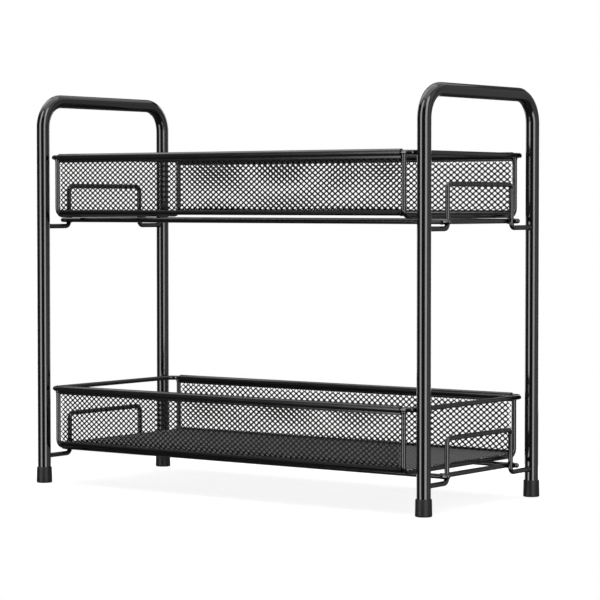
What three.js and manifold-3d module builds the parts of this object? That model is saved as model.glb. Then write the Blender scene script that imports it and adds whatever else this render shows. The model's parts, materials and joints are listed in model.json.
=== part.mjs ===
// Two-tier counter rack: two bent-tube side frames, joined by wire rails, carry an open-ended mesh basket
// on each tier. Millimetres, +Z up. The origin is on the floor, midway between the four feet.
// The front is towards -Y and the long side runs along X.

import * as THREE from 'three';
import { mergeVertices } from 'three/addons/utils/BufferGeometryUtils.js';
import Module from 'manifold-3d';

const wasm = await Module();
wasm.setup();

// Side frames and feet
const rackHeight = 380;
const legSpacingX = 445;
const legSpacingY = 183;
const tubeDiameter = 12.7;
const tubeWall = 1;
const handleBendRadius = 26;
const footDiameter = 15.6;
const footTopDiameter = 15;
const footHeight = 15.5;
const footSole = 3;
const footChamfer = 0.8;
const footSocketFit = 0.3;

// Wire brackets, rails and rungs that carry the baskets
const wireDiameter = 4.5;
const bracketBendRadius = 5;
const lowerBracketHeight = 26;
const tierPitch = 225.3;
const hoopInset = 37.5;
const hoopHeight = 39.5;
const railOverhang = 4;

// Baskets
const basketSideClearance = 1.5;
const basketSeatGap = 0.3;
const basketDepth = 186;
const basketHeight = 56;
const basketBendRadius = 7;
const rimWireDiameter = 4.5;
const rimCornerRadius = 10;
const endWireDiameter = 4.5;
const bottomWireDiameter = 4.5;
const hemThickness = 0.7;
const hemFit = 0.2;
const hemDrop = 5.2;
const hemEndGap = 0.3;

// Mesh sheet, drawn as an open net of large diamonds that stands for the fine one
const meshThickness = 1;
const meshEdgeGap = 0.1;
const netPitch = 33;
const netStrand = 2.4;
const netBorder = 2.5;

// Facets
const tubeSides = 16;
const wireSides = 8;
const tubeBendSteps = 7;
const wireBendSteps = 4;
const domeSteps = 3;

// Places worked out from the sizes above
const legX = legSpacingX / 2;
const legY = legSpacingY / 2;
const tubeRadius = tubeDiameter / 2;
const wireRadius = wireDiameter / 2;
const hoopY = legY - hoopInset;
const railY = hoopY + wireDiameter;
const railRise = bracketBendRadius + wireRadius / 2;
const rungX = legX - wireDiameter;
const rimRadius = rimWireDiameter / 2;
const rimX = legX - tubeRadius - basketSideClearance - rimRadius;
const rimY = basketDepth / 2;
const endWireRadius = endWireDiameter / 2;
const endWireX = rimX - rimCornerRadius;
const endWireRise = railRise + wireRadius + basketSeatGap + endWireRadius;
const rimRise = endWireRise + basketHeight;
const meshFloorLevel = endWireRise + endWireRadius + meshEdgeGap + meshThickness / 2;
const meshX = endWireX - endWireRadius - meshEdgeGap;
const bottomWireRadius = bottomWireDiameter / 2;
const foldReach = (basketBendRadius + meshThickness / 2 + meshEdgeGap + bottomWireRadius) / Math.SQRT2;
const bottomWireY = rimY - basketBendRadius + foldReach;
const bottomWireRise = meshFloorLevel + basketBendRadius - foldReach;

// Finishes
const glossBlack = { color: 0x0c0c0d, roughness: 0.22, metalness: 0.1 };
const satinBlack = { color: 0x111112, roughness: 0.35, metalness: 0.1 };
const meshBlack = { color: 0x17171a, roughness: 0.45, metalness: 0.1 };
const rubberGrey = { color: 0x2a2a2c, roughness: 0.85, metalness: 0 };

// A route of straight runs joined by round bends of one radius. Each bend has a few stations and each run
// has none between its ends, so a swept section bends smoothly and stays light.
class BentRoute extends THREE.Curve {
  constructor(corners, bendRadius, bendSteps) {
    super();
    const last = corners.length - 1;
    const runs = corners.slice(1).map((corner, i) => corner.clone().sub(corners[i]).normalize());
    this.stations = [{ point: corners[0], tangent: runs[0] }];
    for (let i = 1; i < last; i++) {
      this.addBend(corners[i], runs[i - 1], runs[i], bendRadius, bendSteps);
    }
    this.stations.push({ point: corners[last], tangent: runs[last - 1] });
  }

  addBend(corner, before, after, bendRadius, bendSteps) {
    const turn = before.angleTo(after);
    const setback = bendRadius * Math.tan(turn / 2);
    const start = corner.clone().addScaledVector(before, -setback);
    const inward = after.clone().addScaledVector(before, -before.dot(after)).normalize();
    for (let step = 0; step <= bendSteps; step++) {
      const angle = turn * step / bendSteps;
      const point = start.clone()
        .addScaledVector(before, bendRadius * Math.sin(angle))
        .addScaledVector(inward, bendRadius * (1 - Math.cos(angle)));
      const tangent = before.clone().multiplyScalar(Math.cos(angle)).addScaledVector(inward, Math.sin(angle));
      this.stations.push({ point, tangent });
    }
  }

  get steps() {
    return this.stations.length - 1;
  }

  station(u) {
    return this.stations[Math.round(u * this.steps)];
  }

  getPointAt(u, target = new THREE.Vector3()) {
    return target.copy(this.station(u).point);
  }

  getTangentAt(u, target = new THREE.Vector3()) {
    return target.copy(this.station(u).tangent);
  }
}

// Radius to the corners of a polygon whose flats lie at the given radius.
function cornerRadius(flatRadius, sides) {
  return flatRadius / Math.cos(Math.PI / sides);
}

// The points of a regular polygon with flats square to both axes.
function polygonPoints(flatRadius, sides) {
  const radius = cornerRadius(flatRadius, sides);
  return Array.from({ length: sides }, (_, i) => {
    const angle = (i + 0.5) * 2 * Math.PI / sides;
    return new THREE.Vector2(radius * Math.cos(angle), radius * Math.sin(angle));
  });
}

function sweep(section, route) {
  return new THREE.ExtrudeGeometry(section, { steps: route.steps, extrudePath: route, curveSegments: 1 });
}

function bentWire(corners, diameter, bendRadius) {
  const section = new THREE.Shape(polygonPoints(diameter / 2, wireSides));
  return sweep(section, new BentRoute(corners, bendRadius, wireBendSteps));
}

// A section drawn in Y and Z becomes a bar along X, centred on X = 0.
function barAlongX(section, length, curveSegments) {
  const geometry = new THREE.ExtrudeGeometry(section, { depth: length, bevelEnabled: false, curveSegments });
  geometry.translate(0, 0, -length / 2);
  const across = new THREE.Vector3(0, 1, 0);
  const upward = new THREE.Vector3(0, 0, 1);
  const along = new THREE.Vector3(1, 0, 0);
  return geometry.applyMatrix4(new THREE.Matrix4().makeBasis(across, upward, along));
}

function solidOf(geometry) {
  const bare = geometry.clone();
  bare.deleteAttribute('normal');
  bare.deleteAttribute('uv');
  const merged = mergeVertices(bare, 1e-4);
  return new wasm.Manifold(new wasm.Mesh({
    numProp: 3,
    vertProperties: new Float32Array(merged.attributes.position.array),
    triVerts: new Uint32Array(merged.index.array),
  }));
}

function geometryOf(solid) {
  const mesh = solid.getMesh();
  const geometry = new THREE.BufferGeometry();
  geometry.setAttribute('position', new THREE.BufferAttribute(mesh.vertProperties, 3));
  geometry.setIndex(new THREE.BufferAttribute(mesh.triVerts, 1));
  geometry.computeVertexNormals();
  return geometry;
}

// One side frame: a leg, the handle bar and the other leg in one bent tube, open at both ends.
function sideTube() {
  const section = new THREE.Shape(polygonPoints(tubeRadius, tubeSides));
  section.holes.push(new THREE.Path(polygonPoints(tubeRadius - tubeWall, tubeSides)));
  const top = rackHeight - tubeRadius;
  const corners = [
    new THREE.Vector3(0, -legY, footSole),
    new THREE.Vector3(0, -legY, top),
    new THREE.Vector3(0, legY, top),
    new THREE.Vector3(0, legY, footSole),
  ];
  return sweep(section, new BentRoute(corners, handleBendRadius, tubeBendSteps));
}

// A push-on rubber foot: a solid sole with a socket for the end of the tube.
function foot() {
  const socketRadius = cornerRadius(tubeRadius, tubeSides) + footSocketFit;
  const bottomRadius = footDiameter / 2;
  const topRadius = footTopDiameter / 2;
  const profile = [
    new THREE.Vector2(0, 0),
    new THREE.Vector2(bottomRadius - footChamfer, 0),
    new THREE.Vector2(bottomRadius, footChamfer),
    new THREE.Vector2(topRadius, footHeight - footChamfer / 2),
    new THREE.Vector2(topRadius - footChamfer / 2, footHeight),
    new THREE.Vector2(socketRadius, footHeight),
    new THREE.Vector2(socketRadius, footSole),
    new THREE.Vector2(0, footSole),
  ];
  return new THREE.LatheGeometry(profile, tubeSides, Math.PI / tubeSides).rotateX(Math.PI / 2);
}

// A wire welded between the legs: level at both ends, with a raised hoop that guards the basket's open end.
function bracket() {
  const legFace = legY - tubeRadius;
  const corners = [
    new THREE.Vector3(0, -legFace, 0),
    new THREE.Vector3(0, -hoopY, 0),
    new THREE.Vector3(0, -hoopY, hoopHeight),
    new THREE.Vector3(0, hoopY, hoopHeight),
    new THREE.Vector3(0, hoopY, 0),
    new THREE.Vector3(0, legFace, 0),
  ];
  return bentWire(corners, wireDiameter, bracketBendRadius);
}

// A straight rod along X with rounded ends, welded to the hoops' uprights and longer than their spacing.
function rail() {
  const radius = cornerRadius(wireRadius, wireSides);
  const half = legX + wireRadius + railOverhang;
  const dome = Array.from({ length: domeSteps + 1 }, (_, i) => {
    const angle = i / domeSteps * Math.PI / 2;
    return new THREE.Vector2(radius * Math.sin(angle), half - radius * (1 - Math.cos(angle)));
  });
  dome[0].x = 0;
  const foot = dome.map((point) => new THREE.Vector2(point.x, -point.y));
  const profile = [...foot, ...dome.reverse()];
  return new THREE.LatheGeometry(profile, wireSides, Math.PI / wireSides).rotateZ(-Math.PI / 2);
}

// A short rod along Y between the two rails.
function rung() {
  const radius = cornerRadius(wireRadius, wireSides);
  const length = 2 * (railY - wireRadius);
  return new THREE.CylinderGeometry(radius, radius, length, wireSides, 1, false, Math.PI / wireSides);
}

function roundedRectangle(path, halfX, halfY, corner) {
  path.moveTo(halfX, corner - halfY);
  path.absarc(halfX - corner, halfY - corner, corner, 0, Math.PI / 2);
  path.absarc(corner - halfX, halfY - corner, corner, Math.PI / 2, Math.PI);
  path.absarc(corner - halfX, corner - halfY, corner, Math.PI, Math.PI * 1.5);
  path.absarc(halfX - corner, corner - halfY, corner, Math.PI * 1.5, Math.PI * 2);
  return path;
}

// The rim is a closed ring of eight-sided wire: a flat ring whose bevels make the sloping flats.
function rimRing() {
  const flat = rimRadius * Math.tan(Math.PI / wireSides);
  const slope = rimRadius - flat;
  const outer = roundedRectangle(new THREE.Shape(), rimX + flat, rimY + flat, rimCornerRadius + flat);
  outer.holes.push(roundedRectangle(new THREE.Path(), rimX - flat, rimY - flat, rimCornerRadius - flat));
  const ring = new THREE.ExtrudeGeometry(outer, {
    depth: 2 * flat,
    bevelThickness: slope,
    bevelSize: slope,
    bevelSegments: 1,
    curveSegments: wireBendSteps,
  });
  return ring.translate(0, 0, -flat);
}

// A wire up both corners of a basket end and across under its floor, from rim to rim.
function endWire() {
  const top = rimRise - rimRadius;
  const corners = [
    new THREE.Vector3(0, -rimY, top),
    new THREE.Vector3(0, -rimY, endWireRise),
    new THREE.Vector3(0, rimY, endWireRise),
    new THREE.Vector3(0, rimY, top),
  ];
  return bentWire(corners, endWireDiameter, basketBendRadius);
}

// A straight wire under the fold between a basket's wall and floor, from one end wire to the other.
function bottomWire() {
  const section = new THREE.Shape(polygonPoints(bottomWireRadius, wireSides));
  return barAlongX(section, 2 * meshX, 1);
}

// The inside of the hem clears the corners of the rim wire.
function hemBore() {
  return cornerRadius(rimRadius, wireSides) + hemFit;
}

// A strip folded round the rim wire, whose two edges close on the top of the mesh wall.
function hem() {
  const inner = hemBore();
  const outer = inner + hemThickness;
  const slot = meshThickness / 2 + hemFit;
  const cheek = slot + hemThickness;
  const innerAngle = Math.asin(slot / inner);
  const outerAngle = Math.asin(cheek / outer);
  const down = -Math.PI / 2;
  const section = new THREE.Shape();
  section.moveTo(cheek, -hemDrop);
  section.absarc(0, 0, outer, down + outerAngle, down - outerAngle + 2 * Math.PI);
  section.lineTo(-cheek, -hemDrop);
  section.lineTo(-slot, -hemDrop);
  section.absarc(0, 0, inner, down - innerAngle + 2 * Math.PI, down + innerAngle, true);
  section.lineTo(slot, -hemDrop);
  const length = 2 * (endWireX - endWireRadius - hemEndGap);
  return barAlongX(section, length, wireSides);
}

// The gaps of a flat net of diamonds in X and Y. Whole diamonds fill the field and cut ones meet its border.
function netGaps(length, width) {
  const fieldX = length / 2 - netBorder;
  const fieldY = width / 2 - netBorder;
  const columns = Math.max(1, Math.round(2 * fieldX / netPitch));
  const halfRows = Math.max(2, Math.round(4 * fieldY / netPitch));
  const stepX = fieldX / columns;
  const stepY = 2 * fieldY / halfRows;
  const shrink = 1 - netStrand / 2 * Math.hypot(stepX, stepY) / (stepX * stepY);
  const gaps = [];
  for (let row = 0; row <= halfRows; row++) {
    for (let column = (row + 1) % 2; column <= 2 * columns; column += 2) {
      const centre = new THREE.Vector2(column * stepX - fieldX, row * stepY - fieldY);
      gaps.push(new THREE.Shape(netGap(centre, stepX * shrink, stepY * shrink, fieldX, fieldY)));
    }
  }
  return gaps;
}

// The corners of a diamond that lie in the field. A diamond on a corner of the field keeps its centre too.
function netGap(centre, reachX, reachY, fieldX, fieldY) {
  const corners = [
    new THREE.Vector2(centre.x + reachX, centre.y),
    new THREE.Vector2(centre.x, centre.y + reachY),
    new THREE.Vector2(centre.x - reachX, centre.y),
    new THREE.Vector2(centre.x, centre.y - reachY),
  ];
  const slack = netStrand / 100;
  const inside = corners.filter((c) => Math.abs(c.x) < fieldX + slack && Math.abs(c.y) < fieldY + slack);
  return inside.length === 2 ? [...inside, centre] : inside;
}

// A level sheet with the gaps cut through it, centred on the origin.
function netPlate(length, width) {
  const sheet = new THREE.BoxGeometry(length, width, meshThickness);
  const depth = 2 * meshThickness;
  const plugs = new THREE.ExtrudeGeometry(netGaps(length, width), { depth, bevelEnabled: false });
  plugs.translate(0, 0, -meshThickness);
  return geometryOf(solidOf(sheet).subtract(solidOf(plugs)));
}

// The floor of a basket, flat between the two bends, lies on the end wires.
function meshFloor() {
  const length = 2 * (endWireX + endWireRadius);
  const width = 2 * (rimY - basketBendRadius);
  return netPlate(length, width).translate(0, 0, meshFloorLevel);
}

// The front wall of a basket: an upright net on the bend that leads down into the floor.
function meshWall() {
  const bottom = meshFloorLevel + basketBendRadius;
  const top = rimRise - hemBore();
  const upright = netPlate(2 * meshX, top - bottom).rotateX(Math.PI / 2);
  upright.translate(0, -rimY, (top + bottom) / 2);
  const outer = basketBendRadius + meshThickness / 2;
  const inner = basketBendRadius - meshThickness / 2;
  const quarter = new THREE.Shape();
  quarter.absarc(0, 0, outer, Math.PI, Math.PI * 1.5);
  quarter.absarc(0, 0, inner, Math.PI * 1.5, Math.PI, true);
  const bend = barAlongX(quarter, 2 * meshX, wireBendSteps);
  bend.translate(0, basketBendRadius - rimY, bottom);
  return geometryOf(solidOf(upright).add(solidOf(bend)));
}

function part(name, geometry, finish, x = 0, y = 0, z = 0) {
  const mesh = new THREE.Mesh(geometry, new THREE.MeshStandardMaterial(finish));
  mesh.name = name;
  mesh.position.set(x, y, z);
  return mesh;
}

const sides = [['left', -1], ['right', 1]];
const faces = [['front', -1], ['rear', 1]];

function sideFrames() {
  const group = new THREE.Group();
  for (const [side, sx] of sides) {
    group.add(part(`side_tube_${side}`, sideTube(), glossBlack, sx * legX));
    for (const [face, sy] of faces) {
      group.add(part(`foot_${face}_${side}`, foot(), rubberGrey, sx * legX, sy * legY));
    }
  }
  return group;
}

// The wires of one tier that are welded to the side frames.
function tierSupport(tier) {
  const group = new THREE.Group();
  for (const [side, sx] of sides) {
    group.add(part(`${tier}_bracket_${side}`, bracket(), satinBlack, sx * legX));
    group.add(part(`${tier}_rung_${side}`, rung(), satinBlack, sx * rungX, 0, railRise));
  }
  for (const [face, sy] of faces) {
    group.add(part(`${tier}_rail_${face}`, rail(), satinBlack, 0, sy * railY, railRise));
  }
  return group;
}

// The front pieces of a basket, turned half round, are its rear pieces.
function basket(tier) {
  const group = new THREE.Group();
  group.add(part(`${tier}_basket_rim`, rimRing(), satinBlack, 0, 0, rimRise));
  group.add(part(`${tier}_basket_mesh_floor`, meshFloor(), meshBlack));
  for (const [side, sx] of sides) {
    group.add(part(`${tier}_basket_end_wire_${side}`, endWire(), satinBlack, sx * endWireX));
  }
  for (const [face, sy] of faces) {
    const wall = part(`${tier}_basket_mesh_${face}`, meshWall(), meshBlack);
    wall.rotation.z = sy > 0 ? Math.PI : 0;
    group.add(wall);
    group.add(part(`${tier}_basket_hem_${face}`, hem(), satinBlack, 0, sy * rimY, rimRise));
    const wireName = `${tier}_basket_bottom_wire_${face}`;
    group.add(part(wireName, bottomWire(), satinBlack, 0, sy * bottomWireY, bottomWireRise));
  }
  return group;
}

const rack = new THREE.Group();
rack.add(sideFrames());
for (const [tier, level] of [['lower', lowerBracketHeight], ['upper', lowerBracketHeight + tierPitch]]) {
  const shelf = new THREE.Group();
  shelf.position.z = level;
  shelf.add(tierSupport(tier), basket(tier));
  rack.add(shelf);
}

export default rack;
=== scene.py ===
"""Looks of a two-tier counter rack with wire-mesh baskets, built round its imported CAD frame.

The file is laid out as an add-on: sizes and finishes are properties, and one operator makes each group
of like pieces. Lengths are in metres, in the frame of the CAD model: +Z up, the long side along X, the
front at -Y.
"""

import json
import math

import bpy
import numpy as np
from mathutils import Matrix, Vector

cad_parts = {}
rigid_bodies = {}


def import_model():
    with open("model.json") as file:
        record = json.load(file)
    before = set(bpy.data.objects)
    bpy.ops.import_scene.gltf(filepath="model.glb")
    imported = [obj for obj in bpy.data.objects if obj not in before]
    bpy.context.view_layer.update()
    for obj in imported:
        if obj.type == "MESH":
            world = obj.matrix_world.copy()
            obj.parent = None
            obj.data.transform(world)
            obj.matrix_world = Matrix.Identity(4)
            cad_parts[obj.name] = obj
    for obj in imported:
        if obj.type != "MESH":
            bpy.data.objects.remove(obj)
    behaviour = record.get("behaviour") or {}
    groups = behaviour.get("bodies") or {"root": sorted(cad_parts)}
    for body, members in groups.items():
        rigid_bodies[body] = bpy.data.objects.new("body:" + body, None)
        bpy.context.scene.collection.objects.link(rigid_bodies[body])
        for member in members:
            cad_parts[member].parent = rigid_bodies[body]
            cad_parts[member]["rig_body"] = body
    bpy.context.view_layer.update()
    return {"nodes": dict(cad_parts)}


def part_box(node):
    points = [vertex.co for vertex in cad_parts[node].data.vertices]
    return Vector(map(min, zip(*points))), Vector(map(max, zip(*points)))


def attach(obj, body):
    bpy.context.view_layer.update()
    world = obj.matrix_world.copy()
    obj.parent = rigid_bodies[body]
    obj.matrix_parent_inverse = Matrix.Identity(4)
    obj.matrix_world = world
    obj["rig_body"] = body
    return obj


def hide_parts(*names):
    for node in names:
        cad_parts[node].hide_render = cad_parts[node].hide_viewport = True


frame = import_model()

bl_info = {
    "name": "Tiered Mesh Rack",
    "version": (1, 0, 0),
    "blender": (4, 5, 0),
    "location": "3D View > Sidebar > Rack",
    "description": "Builds the shown pieces of a two-tier rack with mesh baskets",
    "category": "Object",
}

SIDES = ("left", "right")
FACES = ("front", "rear")
TIERS = ("lower", "upper")
MM = 0.001

# How finely round shapes are drawn: sides of a ring, or steps of a bend or edge
ROUND_SIDES = 40
WIRE_SIDES = 24
BEND_STEPS = 14
EDGE_STEPS = 6
DOME_STEPS = 8
HEM_OUTSIDE_STEPS = 44
HEM_INSIDE_STEPS = 36

# Extra points at a weld, and how far they reach to either side of it in weld lengths
WELD_STATIONS = 11
RAIL_WELD_STATIONS = 13
WELD_REACH = 2.5


# Sizes read from the frame

def middle(node, axis):
    """Half-way point of a CAD node along one axis (0, 1 or 2)."""
    low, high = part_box(node)
    return (low[axis] + high[axis]) / 2


def half_size(node, axis):
    """Half of a CAD node's extent along one axis."""
    low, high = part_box(node)
    return (high[axis] - low[axis]) / 2


def highest(node):
    """Top level of a CAD node."""
    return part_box(node)[1].z


def lowest(node):
    """Bottom level of a CAD node."""
    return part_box(node)[0].z


TUBE_RADIUS = half_size("side_tube_right", 0)
WIRE_RADIUS = half_size("lower_bracket_right", 0)
RIM_RADIUS = half_size("lower_basket_rim", 2)
END_WIRE_RADIUS = half_size("lower_basket_end_wire_right", 0)
SHEET_THICKNESS = 2 * half_size("lower_basket_mesh_floor", 2)


# Properties

def length(name, description, default):
    """A length property in metres."""
    return bpy.props.FloatProperty(
        name=name, description=description, default=default, min=0.0, unit="LENGTH", precision=5
    )


def share(name, description, default):
    """A property from 0 to 1."""
    return bpy.props.FloatProperty(
        name=name, description=description, default=default, min=0.0, max=1.0, subtype="FACTOR"
    )


def colour(name, description, default):
    """A colour property, in linear light."""
    return bpy.props.FloatVectorProperty(
        name=name, description=description, default=default, size=3, min=0.0, max=1.0, subtype="COLOR"
    )


def angle_size(name, description, degrees):
    """An angle property, given in degrees."""
    return bpy.props.FloatProperty(
        name=name, description=description, default=math.radians(degrees), subtype="ANGLE"
    )


def number(name, description, default):
    """A property without a unit."""
    return bpy.props.FloatProperty(name=name, description=description, default=default)


class RackSizes(bpy.types.PropertyGroup):
    """Sizes of the shown pieces that the frame's boxes don't give."""

    handle_bend: length("Handle bend", "Radius of the tube's centre line at the handle corners", 26 * MM)
    bracket_bend: length("Bracket bend", "Radius of the bracket wire's centre line at its bends", 5 * MM)
    basket_bend: length("Basket bend", "Radius of the sheet and the end wires at the floor's edges", 7 * MM)
    rim_corner: length("Rim corner", "Radius of the rim wire's centre line at its corners", 10 * MM)
    weld_bead: length("Weld bead", "How far a weld stands out from the wire", 0.55 * MM)
    rail_bead: length("Rail bead", "How far a weld stands out from a rail", 0.275 * MM)
    weld_length: length("Weld length", "How far a weld runs out along the wire", 1.3 * MM)
    weld_sink: length("Weld sink", "How far a welded end runs into its neighbour", 0.7 * MM)
    foot_edge: length("Foot edge", "Radius of the edge round the foot's sole", 1.0 * MM)
    foot_lip: length("Foot lip", "Radius of the outer edge of the foot's lip", 0.6 * MM)
    foot_taper: length("Foot taper", "How much smaller the foot's radius is at its lip", 0.3 * MM)
    foot_socket_gap: length("Socket gap", "Gap between the foot's lip and the tube", 0.25 * MM)
    hem_sheet: length("Hem sheet", "Thickness of the folded hem strip", 0.7 * MM)
    hem_roll: length("Hem roll", "Outer radius of the hem where it goes round the rim wire", 3.335 * MM)
    hem_fit: length("Hem fit", "Gap between the hem and what it holds", 0.2 * MM)
    hem_drop: length("Hem drop", "How far the hem's cheeks hang below the middle of the rim wire", 5.2 * MM)
    lower_pitch: length("Lower mesh pitch", "Length of a diamond along the lower front wall", 6.132 * MM)
    upper_pitch: length("Upper mesh pitch", "Length of a diamond along the upper front wall", 6.278 * MM)
    mesh_rows: length("Mesh row pitch", "Height of one diamond of the front walls", 4.796 * MM)
    mesh_stretch: number("Mesh stretch", "Size of a rear wall's diamonds over the front wall's", 1.1052)
    mesh_strand: length("Mesh strand", "Width of one strand of the mesh", 1.12 * MM)
    mesh_thickness: length("Mesh thickness", "Thickness of a strand at its middle", 0.75 * MM)
    mesh_edge: length("Mesh edge", "Thickness of a strand at the edge of a gap", 0.33 * MM)
    mesh_drift: length("Mesh drift", "How far the net's rows wander from their true places", 0.42 * MM)


class RackFinish(bpy.types.PropertyGroup):
    """Colours and gloss of the finishes."""

    tube_enamel: colour("Tube enamel", "Gloss enamel on the side tubes", (0.0025, 0.0025, 0.0028))
    wire_enamel: colour("Wire enamel", "Enamel on the wires and hems", (0.0030, 0.0030, 0.0033))
    mesh_enamel: colour("Mesh enamel", "Satin enamel on the mesh", (0.0035, 0.0035, 0.0038))
    rubber: colour("Foot rubber", "Matt rubber of the feet", (0.0060, 0.0060, 0.0063))
    dust: colour("Dust", "Fine dust on upper faces", (0.28, 0.28, 0.28))
    tube_roughness: share("Tube roughness", "Roughness of the gloss enamel", 0.09)
    wire_roughness: share("Wire roughness", "Roughness of the semi-gloss enamel", 0.14)
    hem_roughness: share("Hem roughness", "Roughness of the satin enamel on the hems", 0.19)
    dull_roughness: share("Dull roughness", "Roughness of the dull enamel on the bottom wires", 0.32)
    mesh_roughness: share("Mesh roughness", "Roughness of the satin enamel on the mesh", 0.36)
    rubber_roughness: share("Rubber roughness", "Roughness of the feet", 0.50)
    dust_roughness: share("Dust roughness", "Roughness that a full cover of dust adds", 0.6)
    floor_sheen: share("Floor sheen", "Weight of the sheen on the mesh floors", 0.6)
    sheen_roughness: share("Sheen roughness", "Roughness of that sheen", 0.6)


class RackStage(bpy.types.PropertyGroup):
    """Camera, table top and studio light."""

    view_turn: angle_size("View turn", "How far round to the right the camera stands", 36.226)
    view_tilt: angle_size("View tilt", "How far the camera looks down", 2.274)
    view_distance: length("View distance", "Level distance from camera to rack", 2319.6 * MM)
    view_height: length("View height", "Height of the camera above the floor", 273.50 * MM)
    view_aside: length("View aside", "How far the camera is moved to its right", 17.42 * MM)
    focal_pixels: number("Focal length in pixels", "Focal length for a picture 600 pixels wide", 2429.4)
    table_radius: length("Table radius", "Radius of the white table top", 0.34)
    table_drop: length("Table drop", "How far the table top lies below the feet", 0.2 * MM)
    table_glow: share("Table glow", "White that the camera sees on the table near the rack", 0.80)
    table_grey: share("Table grey", "Diffuse colour of the table, which takes the shadow", 0.42)
    fade_start: share("Fade start", "Share of the radius where the fade to plain white starts", 0.70)
    fade_end: share("Fade end", "Share of the radius where the table is plain white", 0.98)
    cloth_radius: length("Cloth radius", "Radius of the grey cloth round the studio", 3.0)
    cloth_top: length("Cloth top", "Height of the cloth's upper edge", 2.3)
    cloth_depth: length("Cloth depth", "How far the cloth hangs below the table", 1.5)
    cloth_hole: length("Cloth hole", "Radius of the hole in the cloth's floor", 0.2)
    # Painted light: the cloth's glow, bright round this turn and dim elsewhere, stands in for light falling
    # on it
    painted_light_turn: angle_size("Cloth turn", "Middle of the lit cloth, to the right of the camera", 95.0)
    painted_light_full: share("Lit cloth", "Cosine of the angle from that middle where the full light ends", 0.966)
    painted_light_faded: share("Unlit cloth", "Cosine of the angle where the light has faded out", 0.77)
    cloth_painted_light: share("Cloth light", "Glow of the lit cloth", 0.45)
    cloth_painted_dim: share("Cloth dark", "Glow of the unlit cloth", 0.10)
    cloth_grey: share("Cloth grey", "Base colour of the cloth", 0.02)
    cloth_roughness: share("Cloth roughness", "Roughness of the cloth", 0.9)
    ambient: share("Ambient light", "Strength of the world's even light", 0.45)


# Shapes worked out on whole arrays

def bent_route(corners, bend_radius, closed=False):
    """Points and directions of straight runs joined by round bends.

    A point at angle a of a bend is the bend's start, plus radius times sin(a) along the run before, plus
    radius times (1 - cos(a)) towards the run after. The start is radius times tan(turn / 2) before the
    corner.
    """
    corners = np.array(corners, float)
    ring = np.roll(corners, -1, axis=0) if closed else corners[1:]
    runs = ring - corners[:len(ring)]
    runs /= np.linalg.norm(runs, axis=1, keepdims=True)
    bends = range(len(corners)) if closed else range(1, len(corners) - 1)
    points = [] if closed else [corners[:1]]
    directions = [] if closed else [runs[:1]]
    for i in bends:
        before, after = runs[i - 1], runs[i]
        turn = math.acos(float(np.clip(before @ after, -1, 1)))
        inward = after - before * (before @ after)
        inward /= np.linalg.norm(inward)
        start = corners[i] - before * bend_radius * math.tan(turn / 2)
        angle = np.linspace(0, turn, BEND_STEPS + 1)[:, None]
        points.append(start + bend_radius * (np.sin(angle) * before + (1 - np.cos(angle)) * inward))
        directions.append(np.cos(angle) * before + np.sin(angle) * inward)
    if not closed:
        points.append(corners[-1:])
        directions.append(runs[-1:])
    return np.concatenate(points), np.concatenate(directions)


def distance_along(points):
    """Length of the route from its start to each of its points."""
    steps = np.linalg.norm(np.diff(points, axis=0), axis=1)
    return np.concatenate([[0.0], np.cumsum(steps)])


def with_stations(route, places, spread):
    """The same route with extra points round the given distances along it, where its thickness changes."""
    points, directions = route
    along = distance_along(points)
    offsets = np.linspace(-WELD_REACH, WELD_REACH, WELD_STATIONS) * spread
    extra = (np.array(places)[:, None] + offsets).ravel()
    stops = np.unique(np.concatenate([along, extra[(extra > 0) & (extra < along[-1])]]))
    points = np.stack([np.interp(stops, along, points[:, k]) for k in range(3)], axis=1)
    directions = np.stack([np.interp(stops, along, directions[:, k]) for k in range(3)], axis=1)
    return points, directions / np.linalg.norm(directions, axis=1, keepdims=True)


def welded_radius(points, radius, places, bead, spread):
    """Wire radius along a route: its own, plus bead * exp(-(d / spread)^2) at distance d from a weld."""
    along = distance_along(points)
    gap = (along[:, None] - np.array(places)) / spread
    return radius + bead * np.exp(-gap ** 2).max(axis=1)


def round_section(route, radius, across, sides):
    """Grid of points round a route that lies in one plane.

    Point (i, j) is route point i plus radius i times (cos(turn j) across + sin(turn j) upwards), where
    across is square to the plane and upwards is the direction of the route crossed with it.
    """
    points, directions = route
    across = np.array(across, float)
    turn = np.arange(sides) * 2 * math.pi / sides
    upwards = np.cross(directions, across)
    radius = np.broadcast_to(np.asarray(radius, float), len(points))
    ring = np.cos(turn)[None, :, None] * across + np.sin(turn)[None, :, None] * upwards[:, None, :]
    return points[:, None, :] + radius[:, None, None] * ring


def lathe_grid(profile, sides):
    """Grid of points of a profile (radius, height) turned about Z: (r cos(a), r sin(a), z)."""
    profile = np.array(profile, float)
    turn = np.arange(sides) * 2 * math.pi / sides
    x = profile[:, :1] * np.cos(turn)
    y = profile[:, :1] * np.sin(turn)
    z = np.broadcast_to(profile[:, 1:], x.shape)
    return np.stack([x, y, z], axis=-1)


def arc(centre, radius, start, end, steps):
    """Points of a circular arc in a plane, from one angle to another."""
    angle = np.linspace(start, end, steps + 1)
    return np.stack([centre[0] + radius * np.cos(angle), centre[1] + radius * np.sin(angle)], axis=1)


def grid_mesh(name, grid, closed=False, start_face=True, end_face=True):
    """Mesh of a grid whose rows are rings: quads between the rings and one face over each open end."""
    rows, columns = grid.shape[:2]
    index = np.arange(rows * columns).reshape(rows, columns)
    rings = np.vstack([index, index[:1]]) if closed else index
    rings = np.hstack([rings, rings[:, :1]])
    quads = np.stack([rings[:-1, :-1], rings[:-1, 1:], rings[1:, 1:], rings[1:, :-1]], axis=-1)
    faces = quads.reshape(-1, 4).tolist()
    if start_face and not closed:
        faces.append(index[0][::-1].tolist())
    if end_face and not closed:
        faces.append(index[-1].tolist())
    return finished_mesh(name, grid.reshape(-1, 3), faces)


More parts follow.
